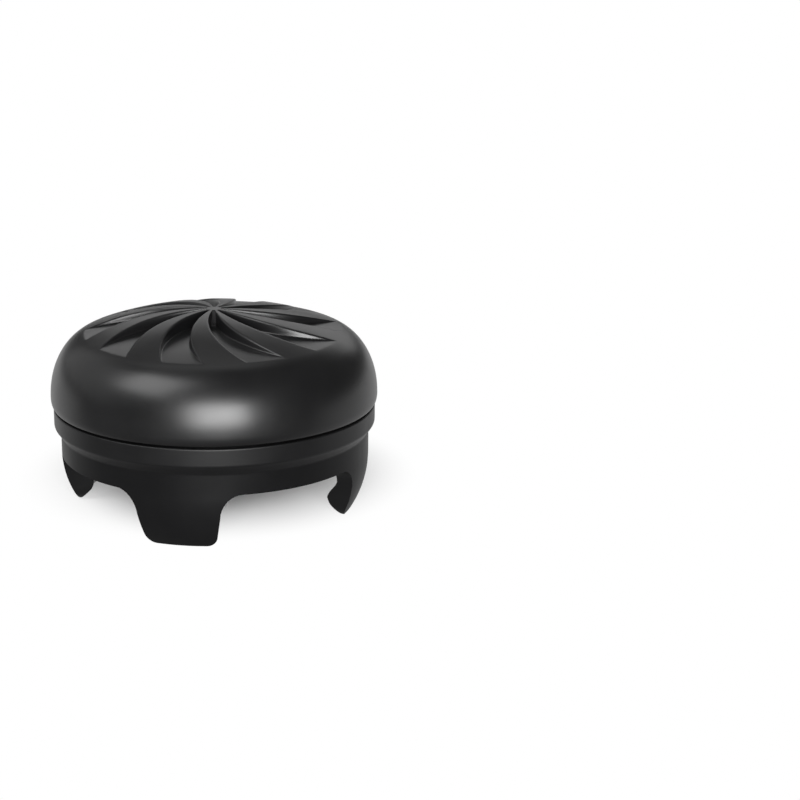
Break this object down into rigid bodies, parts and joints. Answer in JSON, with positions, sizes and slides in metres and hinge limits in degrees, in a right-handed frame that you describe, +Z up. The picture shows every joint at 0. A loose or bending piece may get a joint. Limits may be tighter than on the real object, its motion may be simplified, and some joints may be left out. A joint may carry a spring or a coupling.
{
  "type": "controller thumb grip",
  "caption": "Low domed rubber cap with a swirl of blades on a hard clip base, whose claws snap over a game controller's stick to raise it and give grip.",
  "frame": {"origin": "midway between the claws, on the plane that the claw tips stand on", "axes": "+Z up along the grip's axis, out of the top of the cap; the claws lie on +X, +Y, -X and -Y"},
  "size_m": [0.024, 0.024, 0.0146],
  "materials": {
    "cap_rubber": "satin black moulded rubber",
    "base_plastic": "fine matte black moulded plastic"
  },
  "bodies": {
    "root": {"rubber_cap": "cap_rubber", "clip_base": "base_plastic"}
  },
  "joints": []
}
